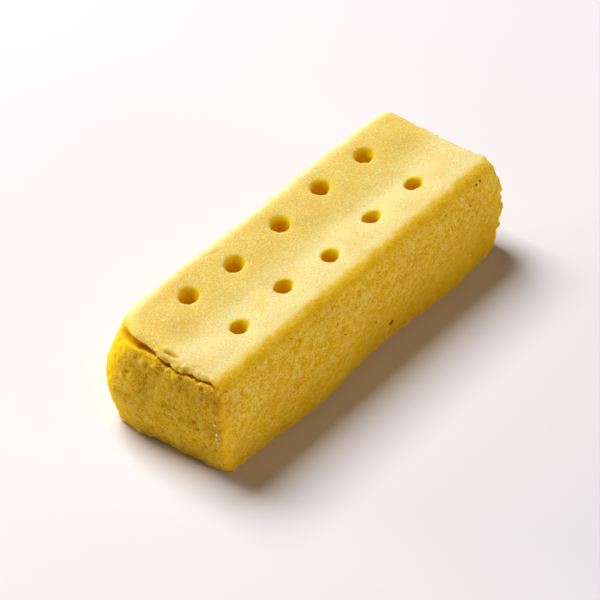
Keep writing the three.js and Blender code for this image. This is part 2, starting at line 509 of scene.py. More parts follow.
    def build(self) -> bmesh.types.BMesh:
        """Return the baked block on a fine grid."""
        shape = bmesh.new()
        bmesh.ops.create_cube(shape, size=1.0)
        sizes = Vector((self.length, self.width, self.height))
        bmesh.ops.scale(shape, vec=sizes, verts=shape.verts)
        bmesh.ops.translate(shape, vec=UP * self.height / 2, verts=shape.verts)
        for axis in Axis:
            cut_along(shape, axis, round(sizes[axis.value] / self.cell) - 1)
        for vert in shape.verts:
            vert.co = self.swollen(self.rounded(vert.co))
        bmesh.ops.recalc_face_normals(shape, faces=shape.faces)
        return shape


@dataclass(frozen=True)
class CrackKnot:
    """A point of the crack's course on the end wall, with its gape and depth there."""

    y: float
    z: float
    gape: float
    depth: float


@dataclass(frozen=True)
class CrustCrack:
    """The crack under the top crust at the near end. Sizes in millimetres.

    On the left the crust has lifted, and the crack is a wide, smooth valley. From ``smooth_to``
    on it is a jagged slit that runs down and in under the crust. The even mesh closes a slit by
    about ``opened``, so the slit is cut that much wider, and loose crumb fills its bottom, so only
    a share ``clear`` of its depth stays open.
    """

    course: tuple[CrackKnot, ...] = (
        CrackKnot(12.6, 17.5, 1.5, 0.1),
        CrackKnot(9.5, 17.7, 2.0, 0.7),
        CrackKnot(6.5, 18.0, 1.5, 1.1),
        CrackKnot(4.3, 18.2, 0.85, 1.5),
        CrackKnot(2.9, 18.1, 0.55, 1.8),
        CrackKnot(1.2, 17.9, 0.45, 1.9),
        CrackKnot(0.6, 17.5, 0.5, 1.9),
        CrackKnot(-1.9, 17.5, 0.5, 1.9),
        CrackKnot(-2.7, 17.2, 0.6, 1.9),
        CrackKnot(-3.2, 17.5, 0.5, 1.9),
        CrackKnot(-5.9, 17.9, 0.5, 1.9),
        CrackKnot(-6.4, 17.7, 0.5, 1.8),
        CrackKnot(-8.9, 18.2, 0.5, 1.6),
        CrackKnot(-9.9, 17.8, 0.4, 1.2),
        CrackKnot(-11.2, 16.8, 0.1, 0.4),
    )
    smooth_to: float = 1.2
    opened: float = 0.15
    clear: float = 0.6
    lead: float = 1.6
    flare: float = 0.25
    tilt: float = 0.68
    tip: float = 0.05
    jag: float = 0.18
    jag_size: float = 0.5
    smooth_jag: float = 0.3
    lip_apart: float = 3.0
    steps: int = 170
    rings: int = 8

    def at(self, y: float) -> CrackKnot:
        """Return the crack's course at ``y``, by straight stretches between its knots."""
        for one, two in zip(self.course, self.course[1:]):
            if y >= two.y:
                share = clamp((one.y - y) / (one.y - two.y))
                return CrackKnot(
                    y, lerp(one.z, two.z, share), lerp(one.gape, two.gape, share),
                    lerp(one.depth, two.depth, share),
                )
        return self.course[-1]

    def smooth_share(self, y: float) -> float:
        """Return how far the crack is a smooth valley at ``y``."""
        return smooth_step(self.smooth_to, 3 * self.smooth_to, y)

    def away(self, point: Vector, block: DoughBlock) -> float:
        """Return how far a point of the bar's skin is from the mouth of the crack."""
        knot = self.at(point.y)
        if not self.course[-1].y < point.y < self.course[0].y:
            return math.inf
        mouth = Vector((block.near_wall(point.y, knot.z), point.y, knot.z))
        return max(0.0, (point - mouth).length - knot.gape / 2)

    def cutter(self, shape: bmesh.types.BMesh, block: DoughBlock) -> None:
        """Add the crack's jagged wedge to ``shape``, to be cut from the dough.

        Args:
            shape: Mesh that takes the wedge.
            block: The dough that it is cut from.
        """
        first, last = self.course[0].y, self.course[-1].y
        bmesh.ops.create_cube(shape, size=1.0)
        cut_along(shape, Axis.LENGTH, self.rings)
        cut_along(shape, Axis.WIDTH, self.steps)
        run, drop = math.cos(self.tilt), math.sin(self.tilt)
        for vert in shape.verts:
            y = lerp(first, last, 0.5 - vert.co.y)
            knot = self.at(y)
            smooth = self.smooth_share(y)
            depth = knot.depth * lerp(self.clear, 1.0, smooth)
            inward = lerp(-self.lead, depth, vert.co.x + 0.5)
            opening = 1 - self.flare * inward
            if inward > 0:
                opening = math.sqrt(max(0.0, 1 - inward / depth))
            gape = knot.gape + self.opened * (1 - smooth)
            across = vert.co.z * (gape * opening + self.tip)
            spot = Vector((inward, y, self.lip_apart * vert.co.z))
            jag = self.jag * lerp(1.0, self.smooth_jag, smooth)
            across += jag * grain_at(spot, self.jag_size, Pattern.CRACK.value)
            x = block.near_wall(y, knot.z) + inward * run + across * drop
            vert.co = Vector((x, y, knot.z + across * run - inward * drop))


@dataclass(frozen=True)
class CrumbLine:
    """Crumbs along a stretch: its ends, how many, how far they stray, and their radii."""

    start: tuple[float, float, float]
    end: tuple[float, float, float]
    count: int
    stray: float
    radius: tuple[float, float]


@dataclass(frozen=True)
class TornCrumbs:
    """Crumbs and flakes still fast to the dough, along the crack, the edges and the foot.

    They become part of the bar's even mesh. Sizes in millimetres.
    """

    lines: tuple[CrumbLine, ...] = (
        CrumbLine((-35.8, 2.5, 18.4), (-35.5, -9.6, 18.6), 30, 0.2, (0.26, 0.55)),
        CrumbLine((-36.8, 4.5, 16.3), (-36.9, -10.0, 16.3), 22, 0.25, (0.24, 0.5)),
        CrumbLine((-37.2, 9.5, 15.6), (-37.4, -10.0, 15.0), 12, 1.0, (0.2, 0.36)),
        CrumbLine((-34.6, 1.4, 19.1), (-34.5, 0.2, 19.1), 4, 0.08, (0.28, 0.45)),
        CrumbLine((-36.4, -10.4, 18.2), (-36.9, -11.4, 15.5), 8, 0.25, (0.26, 0.5)),
        CrumbLine((-37.4, -11.8, 13.0), (-37.0, -12.0, 0.6), 18, 0.4, (0.22, 0.4)),
        CrumbLine((35.8, -8.0, 19.2), (36.2, -9.6, 18.9), 7, 0.2, (0.5, 0.85)),
        CrumbLine((36.8, -11.0, 17.0), (37.4, -11.6, 2.0), 40, 0.6, (0.35, 0.8)),
        CrumbLine((36.2, -9.0, 18.4), (35.8, 9.5, 19.0), 5, 0.3, (0.24, 0.36)),
        CrumbLine((-37.0, 11.0, 0.4), (-37.2, -11.5, 0.4), 22, 0.3, (0.22, 0.42)),
        CrumbLine((-36.0, -13.0, 0.4), (36.0, -13.0, 0.4), 60, 0.5, (0.22, 0.48)),
        CrumbLine((-36.0, 12.0, 0.4), (36.0, 12.0, 0.4), 50, 0.5, (0.22, 0.48)),
        CrumbLine((37.6, -11.0, 0.4), (37.6, 11.0, 0.4), 26, 0.4, (0.22, 0.5)),
        CrumbLine((21.2, 4.9, 19.2), (22.1, 4.6, 19.2), 3, 0.2, (0.24, 0.4)),
        CrumbLine((21.6, -5.7, 18.9), (22.8, -5.5, 18.9), 5, 0.15, (0.24, 0.36)),
    )
    seed: int = 21
    sink: float = 0.25
    lumpy: float = 0.45
    lump_size: float = 0.9
    long: tuple[float, float] = (0.9, 1.5)
    flat: tuple[float, float] = (0.6, 1.0)
    patterns: float = 100.0

    def add(self, shape: bmesh.types.BMesh) -> None:
        """Add each crumb to ``shape``, drawn to the nearest dough and set a little way into it."""
        draw = random.Random(self.seed)
        dough = BVHTree.FromBMesh(shape)
        for line in self.lines:
            start, end = Vector(line.start), Vector(line.end)
            for _ in range(line.count):
                aim = start.lerp(end, draw.random())
                aim += Vector([draw.gauss(0, line.stray) for _ in Axis])
                place, normal, _, _ = dough.find_nearest(aim)
                radius = mostly_small(draw, line.radius)
                long, flat = draw.uniform(*self.long), draw.uniform(*self.flat)
                size = Vector((radius * long, radius, radius * flat))
                place.z = max(place.z, radius)
                corners = bmesh.ops.create_icosphere(shape, subdivisions=2, radius=1.0)["verts"]
                pattern = draw.uniform(0, self.patterns)
                for corner in corners:
                    corner.co *= 1 + self.lumpy * grain_at(corner.co, self.lump_size, pattern)
                matrix = seated(place, normal, size, self.sink, draw.uniform(0, math.tau))
                bmesh.ops.transform(shape, matrix=matrix, verts=corners)


@dataclass(frozen=True)
class Nick:
    """A small split or pit: its middle, its half sizes, and its turn about the upright."""

    middle: tuple[float, float, float]
    reach: tuple[float, float, float]
    turn: float = 0.0
    jag: float = 0.35
    jag_size: float = 0.6

    def cutter(self, shape: bmesh.types.BMesh) -> None:
        """Add the nick's ragged form to ``shape``, to be cut from the dough."""
        verts = bmesh.ops.create_icosphere(shape, subdivisions=3, radius=1.0)["verts"]
        middle = Vector(self.middle)
        for vert in verts:
            vert.co *= 1 + self.jag * grain_at(vert.co + middle, self.jag_size, Pattern.NICK.value)
        place = Matrix.Translation(middle) @ Matrix.Rotation(self.turn, 4, "Z")
        bmesh.ops.transform(shape, matrix=place @ Matrix.Diagonal((*self.reach, 1.0)), verts=verts)


@dataclass(frozen=True)
class CrumbRelief:
    """How rough the baked dough is. Sizes in millimetres.

    The crust on top is smooth, the flanks are sandy with small pits, the ends are coarser, and
    the lips of the crack crumble.
    """

    swell: float = 0.16
    swell_size: float = 3.4
    end_swell: float = 0.34
    grain: float = 0.11
    grain_size: float = 0.85
    fine_share: float = 0.6
    fine_size: float = 0.425
    lip: float = 0.22
    lip_size: float = 0.7
    lip_reach: float = 1.8
    lip_inset: float = 6.0
    smooth_lip: float = 0.8
    pit: float = 0.34
    pit_size: float = 1.9
    pit_radius: float = 0.4
    pit_choice: float = 0.1
    pit_scatter: float = 7.0
    top_coarse: float = 0.4
    flank_coarse: float = 0.7
    hollow_depth: tuple[float, float] = (0.05, 0.55)
    # Depths over which the painted shade deep in the holes and the crack comes on.
    deep_hollow: tuple[float, float] = (0.6, 3.2)
    # Depths over which the painted shade in the crack and the nicks comes on.
    crevice_depth: tuple[float, float] = (0.1, 0.8)
    base_fade: tuple[float, float] = (0.05, 0.6)


def evaluated_mesh(piece: bpy.types.Object) -> bpy.types.Mesh:
    """Return a new mesh with the modifiers of ``piece`` applied."""
    graph = bpy.context.evaluated_depsgraph_get()
    return bpy.data.meshes.new_from_object(piece.evaluated_get(graph))


def piece_of(name: str, shape: bmesh.types.BMesh) -> bpy.types.Object:
    """Return a new object in the scene made from ``shape``, which is freed."""
    mesh = bpy.data.meshes.new(name)
    bmesh.ops.recalc_face_normals(shape, faces=shape.faces)
    shape.to_mesh(mesh)
    shape.free()
    piece = bpy.data.objects.new(name, mesh)
    bpy.context.scene.collection.objects.link(piece)
    return piece


@dataclass
class BiscuitBar:
    """The whole bar: block, holes and crack, in an even mesh with the crumb's relief."""

    block: DoughBlock = DoughBlock()
    crack: CrustCrack = CrustCrack()
    nicks: tuple[Nick, ...] = (
        Nick((-35.05, -0.4, 18.95), (0.3, 1.85, 0.8), 0.09),
        Nick((-12.5, 9.6, 19.8), (2.4, 0.4, 0.45), -0.26),
        Nick((-12.3, -6.8, 18.95), (0.42, 0.32, 0.3)),
        Nick((-37.0, 1.5, 15.8), (0.5, 0.9, 0.3)),
        Nick((-37.8, -1.7, 10.7), (0.35, 0.7, 0.22)),
        Nick((-37.75, 6.8, 13.1), (0.35, 0.8, 0.22)),
        Nick((-17.9, -12.2, 14.3), (0.7, 0.35, 0.16)),
        Nick((-15.0, -12.3, 13.8), (0.5, 0.3, 0.15)),
    )
    crumbs: TornCrumbs = TornCrumbs()
    relief: CrumbRelief = CrumbRelief()
    voxel: float = 0.17
    smoothing: int = 1
    most_triangles: int = 190000
    top_facing: tuple[float, float] = (0.55, 0.9)
    end_facing: tuple[float, float] = (0.5, 0.85)
    edge_facing: tuple[float, float] = (0.15, 0.5)
    crust_edge: tuple[float, float] = (0.9, 2.9)
    edge_stray: float = 0.7
    edge_stray_size: float = 1.6
    lip_bare: float = 0.4
    # Where the crust is painted lighter, a painted highlight: across the right strip and along the left
    # rim.
    highlight_right: tuple[float, float] = (3.5, -2.5)
    highlight_left: tuple[float, float] = (8.6, 11.0)
    # How strongly the edges' yellow is laid on, partly painted glow: strongest at the near left corner,
    # faintest at the far right one.
    plain_glow: float = 0.55
    near_left_glow: float = 1.0
    far_right_glow: float = 0.15
    corner_fade: tuple[float, float] = (0.1, 0.4)
    # Painted shade on the walls: darker towards the table, climbing towards the far end, weaker on the
    # ends.
    foot_fade: tuple[float, float] = (17.0, -1.0)
    foot_shade_slope: float = 0.07
    foot_shade_on_ends: float = 0.25
    # Painted contact shadow: a dark line at the foot, weaker on the flanks than on the ends.
    base_edge: tuple[float, float] = (2.6, 0.2)
    contact_shadow_on_flanks: float = 0.4
    piece: bpy.types.Object | None = None
    skin: BVHTree | None = None
    surface: BVHTree | None = None
    placing: Matrix | None = None

    def cutters(self) -> list[bpy.types.Object]:
        """Return what is cut from the block: the holes with the nicks, and the crack."""
        pins = bmesh.new()
        for hole in self.block.holes.every:
            self.block.holes.cutter(pins, hole, self.block.top_at(hole.x, hole.y))
        for nick in self.nicks:
            nick.cutter(pins)
        wedge = bmesh.new()
        self.crack.cutter(wedge, self.block)
        return [piece_of("hole_cutters", pins), piece_of("crack_cutter", wedge)]

    def cut_block(self) -> bpy.types.Object:
        """Return the block with its holes and its crack cut out, in an even mesh."""
        shape = self.block.build()
        self.skin = BVHTree.FromBMesh(shape)
        body = piece_of("biscuit_crumb", shape)
        tools = self.cutters()
        for tool in tools:
            cut = body.modifiers.new(tool.name, "BOOLEAN")
            cut.operation = "DIFFERENCE"
            cut.solver = "MANIFOLD"
            cut.object = tool
        shape = bmesh.new()
        shape.from_mesh(evaluated_mesh(body))
        self.crumbs.add(shape)
        body.modifiers.clear()
        shape.to_mesh(body.data)
        shape.free()
        even = body.modifiers.new("even_mesh", "REMESH")
        even.mode = "VOXEL"
        even.voxel_size = self.voxel
        ease = body.modifiers.new("ease", "SMOOTH")
        ease.iterations = self.smoothing
        mesh = evaluated_mesh(body)
        mesh.materials.clear()
        body.modifiers.clear()
        body.data = mesh
        for tool in tools:
            bpy.data.objects.remove(tool)
        return body

    def lip_share(self, point: Vector) -> float:
        """Return how near a point is to the crack's crumbling lips, from 0 to 1."""
        rough = self.relief
        if point.x > rough.lip_inset - self.block.length / 2 or point.z < self.block.height / 2:
            return 0.0
        away = self.crack.away(point, self.block)
        torn = 1 - rough.smooth_lip * self.crack.smooth_share(point.y)
        return hump(away, 0.0, rough.lip_reach) * torn

    def zones_at(self, point: Vector) -> dict[Zone, float]:
        """Return what the dough is like at a point, and the light and shade painted on it there, by its
        place on the uncut block.

        Args:
            point: A point of the even mesh.

        Returns:
            The share of each zone there.
        """
        rough = self.relief
        spot, normal, _, away = self.skin.find_nearest(point)
        buried = away if (point - spot).dot(normal) < 0 else 0.0
        hollow = smooth_step(*rough.hollow_depth, buried)
        # Painted shade inside the cuts, deeper under the skin; the upper parts of the holes get none.
        crevice = smooth_step(*rough.crevice_depth, buried)
        hole = self.block.holes.near(point)
        # Hole mouths take the hollow colour: the bare crumb, with the amber glow of light bounced inside
        # painted on.
        if hole and point.z > self.block.height / 2:
            hollow = max(hollow, self.block.holes.mouth_share(point, hole))
            crevice = 0.0
        top = smooth_step(*self.top_facing, normal.z) * (1 - self.lip_bare * self.lip_share(point))
        inset = point.y + self.block.width / 2
        inset += self.edge_stray * grain_at(point, self.edge_stray_size, Pattern.CRUST_EDGE.value)
        crust = top * smooth_step(*self.crust_edge, inset) * (1 - hollow)
        # Painted highlight on the crust's right strip and left rim.
        pale = smooth_step(*self.highlight_right, point.y) + smooth_step(*self.highlight_left, point.y)
        end = smooth_step(*self.end_facing, abs(normal.x))
        # The edges' yellow: partly their own colour, partly painted glow of light through them.
        edge = smooth_step(*self.edge_facing, sorted(abs(part) for part in normal)[1])
        corner_glow = self.near_left_glow if normal.y > 0 else self.far_right_glow
        edge *= lerp(self.plain_glow, corner_glow, smooth_step(*self.corner_fade, -normal.x * normal.y))
        # Painted shade, darker towards the table and higher towards the far end.
        foot_shade_level = point.z - self.foot_shade_slope * point.x
        return {
            Zone.CRUST: crust,
            Zone.PALE: crust * pale,
            Zone.EDGE: edge * (1 - hollow),
            Zone.FOOT: smooth_step(*self.foot_fade, foot_shade_level) * lerp(1.0, self.foot_shade_on_ends, end),
            Zone.COARSE: lerp(lerp(rough.flank_coarse, 1.0, end), rough.top_coarse, top),
            # Painted contact shadow at the foot.
            Zone.BASE: smooth_step(*self.base_edge, point.z) * lerp(self.contact_shadow_on_flanks, 1.0, end),
            Zone.HOLLOW: hollow,
            # Painted shade deep in the holes and the crack.
            Zone.DEEP: smooth_step(*rough.deep_hollow, buried),
            Zone.CREVICE: crevice,
        }

    def pit_share(self, point: Vector) -> float:
        """Return the depth of a small pit at a point of a wall, from 0 to 1."""
        distances, centres = noise.voronoi(point / self.relief.pit_size)
        away = distances[0] * self.relief.pit_size
        chosen = noise.cell(centres[0] * self.relief.pit_scatter) > self.relief.pit_choice
        return hump(away, 0.0, self.relief.pit_radius) if chosen else 0.0

    def relief_at(self, point: Vector, zones: dict[Zone, float]) -> float:
        """Return how far the crumb stands out of the even mesh at a point.

        Args:
            point: A point of the even mesh.
            zones: What the dough is like there.

        Returns:
            The relief along the normal.
        """
        rough = self.relief
        coarse = zones[Zone.COARSE]
        open_air = 1 - zones[Zone.HOLLOW]
        torn = smooth_step(rough.flank_coarse, 1.0, coarse)
        swell, sand, fine, lip = (
            grain_at(point, size, pattern.value)
            for size, pattern in (
                (rough.swell_size, Pattern.SWELL), (rough.grain_size, Pattern.SAND),
                (rough.fine_size, Pattern.FINE_SAND), (rough.lip_size, Pattern.LIP),
            )
        )
        out = lerp(rough.swell, rough.end_swell, torn) * swell
        out += rough.grain * coarse * (sand + rough.fine_share * fine)
        out += rough.lip * self.lip_share(point) * lip
        out -= rough.pit * smooth_step(rough.top_coarse, 1.0, coarse) * open_air * self.pit_share(point)
        return out * smooth_step(*rough.base_fade, point.z)

    def roughen(self) -> None:
        """Push the even mesh in and out by the crumb's relief, and note its zones."""
        mesh = self.piece.data
        zones = [self.zones_at(vert.co) for vert in mesh.vertices]
        moves = [vert.normal * self.relief_at(vert.co, here) for vert, here in zip(mesh.vertices, zones)]
        for vert, move in zip(mesh.vertices, moves):
            vert.co += move
            vert.co.z = max(0.0, vert.co.z)
        for zone in Zone:
            layer = mesh.attributes.new(zone.value, "FLOAT", "POINT")
            layer.data.foreach_set("value", [here[zone] for here in zones])

    def thin_out(self) -> None:
        """Thin the mesh where it is flat, down to the most triangles that it may have."""
        mesh = self.piece.data
        thin = self.piece.modifiers.new("thin_out", "DECIMATE")
        thin.ratio = min(1.0, self.most_triangles / (len(mesh.loops) - 2 * len(mesh.polygons)))
        thinned = evaluated_mesh(self.piece)
        self.piece.modifiers.clear()
        self.piece.data = thinned

    def build(self) -> None:
        """Make the piece, in metres and centred on the base as the solid is."""
        self.piece = self.cut_block()
        self.roughen()
        self.thin_out()
        mesh = self.piece.data
        places = [vert.co.copy() for vert in mesh.vertices]
        self.surface = BVHTree.FromPolygons(places, [face.vertices for face in mesh.polygons])
        low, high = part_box(NODE)
        middle = [
            (low[axis.value] + high[axis.value]) / 2
            - MM * (min(p[axis.value] for p in places) + max(p[axis.value] for p in places)) / 2
            for axis in (Axis.LENGTH, Axis.WIDTH)
        ]
        self.placing = Matrix.Translation((*middle, 0.0)) @ Matrix.Scale(MM, 4)
        mesh.transform(self.placing)
        mesh.shade_smooth()
        LOG.info("%s: %d faces, moved by %s", self.piece.name, len(mesh.polygons), middle)

    def dress(self, finish: BakedDough) -> None:
        """Give the piece its finish and tie it to the solid that it stands for."""
        self.piece.data.materials.append(finish.material())
        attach(self.piece, BODY)
        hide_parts(NODE)


@dataclass(frozen=True)
class Spot:
    """Where a small bit clings to the bar, and its half sizes along, across and out."""

    place: Vector
    normal: Vector
    size: tuple[float, float, float]


@dataclass
class ClingingBits:
    """Small bits of one kind that cling to the bar, joined in one piece. Sizes in millimetres."""

    name: str = "bits"
    seed: int = 1
    sink: float = 0.35
    piece: bpy.types.Object | None = None

    def spots(self, bar: BiscuitBar, draw: random.Random) -> Iterator[Spot]:
        """Yield where each bit clings."""
        raise NotImplementedError

    def bit(self, shape: bmesh.types.BMesh, draw: random.Random) -> list[bmesh.types.BMVert]:
        """Add one bit of radius 1 to ``shape`` and return its corners."""
        raise NotImplementedError

    def build(self, bar: BiscuitBar) -> None:
        """Make the piece from its bits, each set a little way into the dough."""
        draw = random.Random(self.seed)
        shape = bmesh.new()
        count = 0
        for spot in self.spots(bar, draw):
            corners = self.bit(shape, draw)
            spin = draw.uniform(0, math.tau)
            matrix = seated(spot.place, spot.normal, spot.size, self.sink, spin)
            bmesh.ops.transform(shape, matrix=matrix, verts=corners)
            count += 1
        self.piece = piece_of(self.name, shape)
        self.piece.data.transform(bar.placing)
        LOG.info("%s: %d bits, %d faces", self.name, count, len(self.piece.data.polygons))

    def dress(self, material: bpy.types.Material) -> None:
        """Give the piece its finish and tie it to the bar."""
        self.piece.data.materials.append(material)
        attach(self.piece, BODY)


@dataclass
class SugarGrains(ClingingBits):
    """Sugar that stayed whole in the dough: small cuboid crystals, most where the crumb is torn.

    A few large ones stand out on the edge between the near end and the right flank.
    """

    name: str = "sugar_grains"
    seed: int = 34
    edge_grains: tuple[tuple[float, float, float], ...] = (
        (-37.2, -10.8, 11.5), (-37.2, -11.0, 9.6), (-37.3, -11.0, 8.6), (-37.1, -11.2, 7.9),
    )
    edge_radius: tuple[float, float] = (0.09, 0.22)
    edge_facing: tuple[float, float, float] = (-0.27, -0.84, 0.48)
    tries: int = 9000
    torn_chance: float = 0.07
    flank_chance: float = 0.015
    top_chance: float = 0.01
    radius: tuple[float, float] = (0.06, 0.13)
    most_tip: float = 0.12
    sink: float = 0.2

    def spots(self, bar: BiscuitBar, draw: random.Random) -> Iterator[Spot]:
        """Yield the large crystals, then points drawn at random, as often as each zone shows them."""
        for aim in self.edge_grains:
            place, _, _, _ = bar.surface.find_nearest(Vector(aim))
            sizes = tuple(draw.uniform(*self.edge_radius) for _ in Axis)
            yield Spot(place, Vector(self.edge_facing), sizes)
        mesh = bar.piece.data
        coarse = mesh.attributes[Zone.COARSE.value].data
        hollow = mesh.attributes[Zone.HOLLOW.value].data
        back = bar.placing.inverted()
        rough = bar.relief
        for _ in range(self.tries):
            vert = mesh.vertices[draw.randrange(len(mesh.vertices))]
            chance = draw.random()
            sizes = tuple(mostly_small(draw, self.radius) for _ in Axis)
            share = coarse[vert.index].value
            flank = smooth_step(rough.top_coarse, rough.flank_coarse, share)
            limit = lerp(self.top_chance, self.flank_chance, flank)
            limit = lerp(limit, self.torn_chance, smooth_step(rough.flank_coarse, 1.0, share))
            if chance < limit * (1 - hollow[vert.index].value) and vert.co.z > 0:
                yield Spot(back @ vert.co, vert.normal.copy(), sizes)

    def bit(self, shape: bmesh.types.BMesh, draw: random.Random) -> list[bmesh.types.BMVert]:
        """Add one cube of half side 1, tipped at random, to ``shape`` and return its corners."""
        corners = bmesh.ops.create_cube(shape, size=2.0)["verts"]
        for axis in ("Y", "X"):
            tip = Matrix.Rotation(draw.uniform(-self.most_tip, self.most_tip), 4, axis)
            bmesh.ops.transform(shape, matrix=tip, verts=corners)
        return corners


@dataclass
class BranSpecks(ClingingBits):
    """Brown specks of bran in the surface: a few listed on the right flank, and some all round."""

    name: str = "bran_specks"
    seed: int = 55
    flank_specks: tuple[tuple[float, float, float], ...] = (
        (-19.3, 17.3, 0.16), (-8.5, 13.3, 0.2), (-6.9, 10.3, 0.24), (-14.6, 11.0, 0.13), (-25.7, 5.7, 0.2),
        (5.9, 3.9, 0.55), (1.5, 7.0, 0.2), (31.0, 17.3, 0.3), (29.9, 17.2, 0.3), (27.8, 14.3, 0.26),
    )
    flake: tuple[float, float, float] = (1.3, 0.8, 0.5)
    ragged: tuple[float, float] = (0.6, 1.2)
    others: int = 14
    other_facing: float = 0.5
    radius: tuple[float, float] = (0.1, 0.26)
    sink: float = 0.1

    def spots(self, bar: BiscuitBar, draw: random.Random) -> Iterator[Spot]:
        """Yield the specks of the right flank, then those that are drawn at random elsewhere."""
        for x, z, radius in self.flank_specks:
            outside = Vector((x, -bar.block.width, z))
            place, normal, _, _ = bar.surface.ray_cast(outside, Vector((0.0, 1.0, 0.0)))
            yield Spot(place, normal, tuple(radius * side for side in self.flake))
        mesh = bar.piece.data
        back = bar.placing.inverted()
        limit = self.other_facing
        for _ in range(self.others):
            vert = mesh.vertices[draw.randrange(len(mesh.vertices))]
            radius = mostly_small(draw, self.radius)
            if vert.co.z > 0 and vert.normal.y > -limit and vert.normal.z < limit:
                sizes = tuple(radius * side for side in self.flake)
                yield Spot(back @ vert.co, vert.normal.copy(), sizes)

    def bit(self, shape: bmesh.types.BMesh, draw: random.Random) -> list[bmesh.types.BMVert]:
        """Add one angular flake of radius 1 to ``shape`` and return its corners."""
        corners = bmesh.ops.create_icosphere(shape, subdivisions=1, radius=1.0)["verts"]
        for corner in corners:
            corner.co *= draw.uniform(*self.ragged)
        return corners


def to_linear(code: str) -> tuple[float, float, float, float]:
    """Return the linear colour of an sRGB hex value such as ``e6b84a``."""
    shares = [int(code[place : place + 2], 16) / 255 for place in (0, 2, 4)]
    linear = [s / 12.92 if s <= 0.04045 else ((s + 0.055) / 1.055) ** 2.4 for s in shares]
    return (*linear, 1.0)


def add_node(
    tree: bpy.types.NodeTree,
    kind: str,
    settings: dict[str, Any] | None = None,
    sockets: dict[str | int, Any] | None = None,
) -> bpy.types.Node:
    """Add a node with its settings, its constants and its links.

    Args:
        tree: Node tree that takes it.
        kind: Blender's name for the node.
        settings: Attributes of the node.
        sockets: Input name or number to a constant, or to the output socket that feeds it.

    Returns:
        The new node.
    """
    node = tree.nodes.new(kind)
    for name, value in (settings or {}).items():
        setattr(node, name, value)
    for key, value in (sockets or {}).items():
        socket = node.inputs[key]
        if isinstance(value, bpy.types.NodeSocket):
            tree.links.new(value, socket)
        else:
            socket.default_value = value
    return node


def empty_material(name: str) -> bpy.types.Material:
    """Return a new material whose node tree is empty."""
    material = bpy.data.materials.new(name)
    material.use_nodes = True
    material.node_tree.nodes.clear()
    return material


@dataclass(frozen=True)
class Ramp:
    """A share that goes from ``first`` to ``last`` as what it reads goes from ``start`` to ``end``."""

    reads: Zone | Grain
    start: float = 0.0
    end: float = 1.0
    last: float = 1.0
    first: float = 0.0


@dataclass(frozen=True)
class Layer:
    """A colour that lies over those before it, as thickly as its ramps multiply to."""

    name: str
    colour: str
    ramps: tuple[Ramp, ...]


OUT_OF_HOLLOWS = Ramp(Zone.HOLLOW, last=0.0, first=1.0)
# A pore ends at a fifth of its cell, and the crust has none.
IN_PORES = (Ramp(Grain.PORE_AWAY, 0.2, 0.06), Ramp(Zone.COARSE, 0.4, 0.7))


